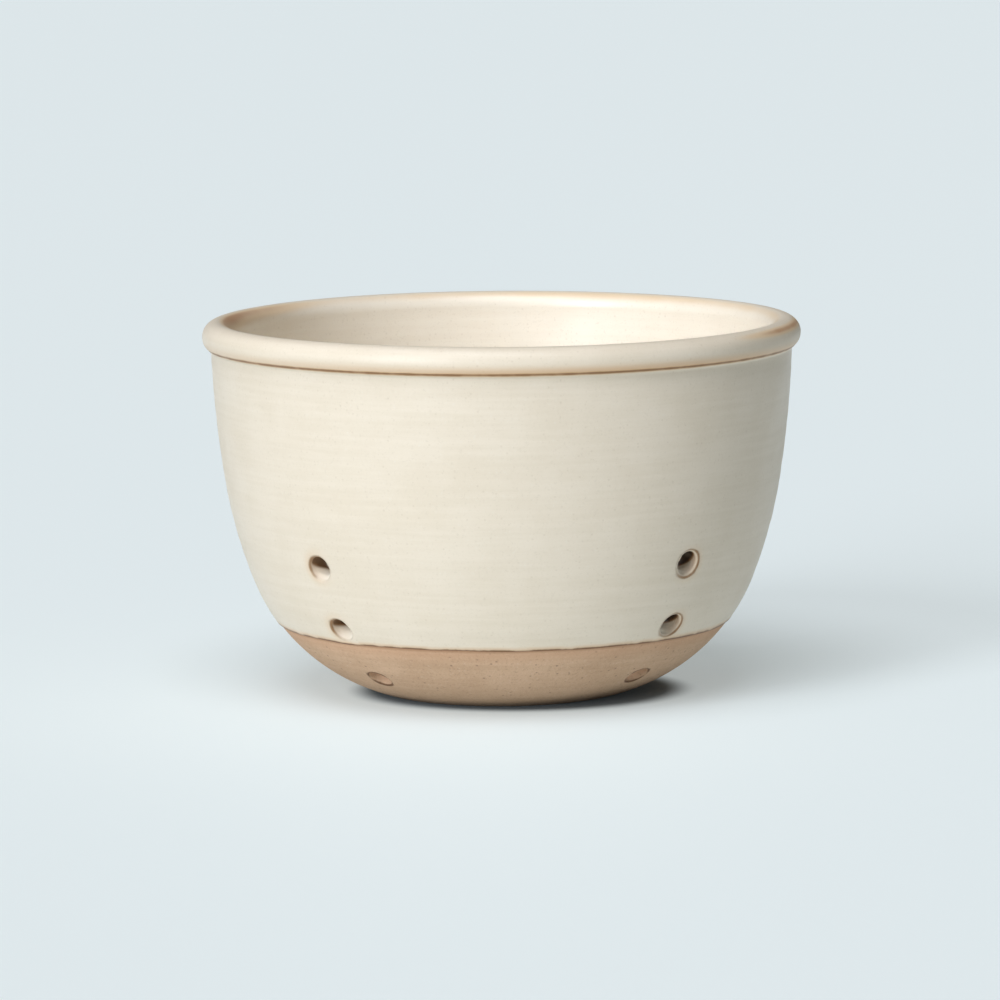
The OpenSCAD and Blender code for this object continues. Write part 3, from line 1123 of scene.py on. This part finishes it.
def make_floor():
    """A plain pale floor that glows a little, apart from a painted shadow where the bowl meets it."""
    size = 8.0
    mesh = bpy.data.meshes.new("floor")
    corners = [(-size, -size, 0), (size, -size, 0), (size, size, 0), (-size, size, 0)]
    mesh.from_pydata(corners, [], [(0, 1, 2, 3)])
    s = Shader(bpy.data.materials.new("pale_floor"))
    across, along = SHADE_HALVES
    beside, ahead = SHADE_CENTRE
    oval = s.node(
        "ShaderNodeMapping", Vector=s.coordinates, Scale=(1 / across, 1 / along, 1),
        Location=(-beside / across, -ahead / along, 0))
    apart = s.node("ShaderNodeVectorMath", {"operation": "LENGTH"}, Vector=oval[0])["Value"]
    # Painted shadow: darker colour and less glow where the bowl meets the floor
    s.colour = s.mix(s.ranged(apart, 1.0, SHADE_END), FLOOR_SHADE, FLOOR_PALE)
    glow = s.ranged(apart, 1.0, SHADE_END, SHADE_GLOW, GLOW)
    s.surface(0.7, Emission_Color=FLOOR_GLOW, Emission_Strength=glow)
    mesh.materials.append(s.owner)
    placed("floor", mesh)


def make_key(name, azimuth, elevation, spread, strength):
    """A broad far light. Azimuth 0 is at the front and grows to the right."""
    a, e = math.radians(azimuth), math.radians(elevation)
    way = Vector((math.sin(a) * math.cos(e), -math.cos(a) * math.cos(e), math.sin(e)))
    data = bpy.data.lights.new(name, "SUN")
    data.angle = math.radians(spread)
    data.energy = strength
    data.color = KEY_COLOUR
    light = placed(name, data)
    light.rotation_mode = "QUATERNION"
    light.rotation_quaternion = (-way).to_track_quat("-Z", "Y")
    light.location = way


def make_sky(level, overhead):
    """Soft light that grows towards the top, with little of it from the right."""
    s = Shader(bpy.data.worlds.new("soft_room"))
    parts = s.node("ShaderNodeSeparateXYZ", Vector=s.node("ShaderNodeTexCoord")["Generated"])
    climb = s.math("POWER", s.math("MAXIMUM", parts["Z"], 0.0), 3.0)
    from_left = s.math("SUBTRACT", 0.5, s.times(parts["X"], 0.5))
    strength = s.math("ADD", s.times(climb, overhead), s.times(from_left, level))
    back = s.node("ShaderNodeBackground", Color=SKY_COLOUR, Strength=strength)
    s.node("ShaderNodeOutputWorld", Surface=back[0])
    bpy.context.scene.world = s.owner


def make_camera():
    """The photograph's view: from the front, a little above the rim, with a long lens."""
    distance = 1.443
    elevation = math.radians(7.655)
    roll = math.radians(0.555)
    pivot = Vector((0, 0, 0.045))
    aim_beside = -0.00073
    aim_above = 0.00232
    back = Vector((0, -math.cos(elevation), math.sin(elevation)))
    up = Vector((0, math.sin(elevation), math.cos(elevation)))
    place = pivot + back * distance
    aim = pivot + Vector((aim_beside, 0, 0)) + up * aim_above
    data = bpy.data.cameras.new("camera")
    data.lens = 206.1
    data.sensor_width = 36
    camera = placed("camera", data)
    camera.location = place
    camera.rotation_mode = "QUATERNION"
    facing = (aim - place).to_track_quat("-Z", "Y")
    camera.rotation_quaternion = facing @ Quaternion((0, 0, 1), -roll)
    bpy.context.scene.camera = camera


stoneware(clay_material())
outer_glaze(glaze_material("cream_satin_glaze", CREAM, CREAM_DEEP, True))
inner_glaze(glaze_material("liner_satin_glaze", LINER_PAINTED_LIGHT, LINER_DEEP_PAINTED_LIGHT, False))
make_floor()
make_key("window_low", azimuth=-35, elevation=12, spread=20, strength=1.18)
make_key("window_middle", azimuth=-40, elevation=32, spread=20, strength=1.02)
make_key("window_high", azimuth=-18, elevation=66, spread=40, strength=1.8)
make_sky(level=0.08, overhead=0.30)
make_camera()
bpy.context.scene.view_settings.view_transform = "Standard"
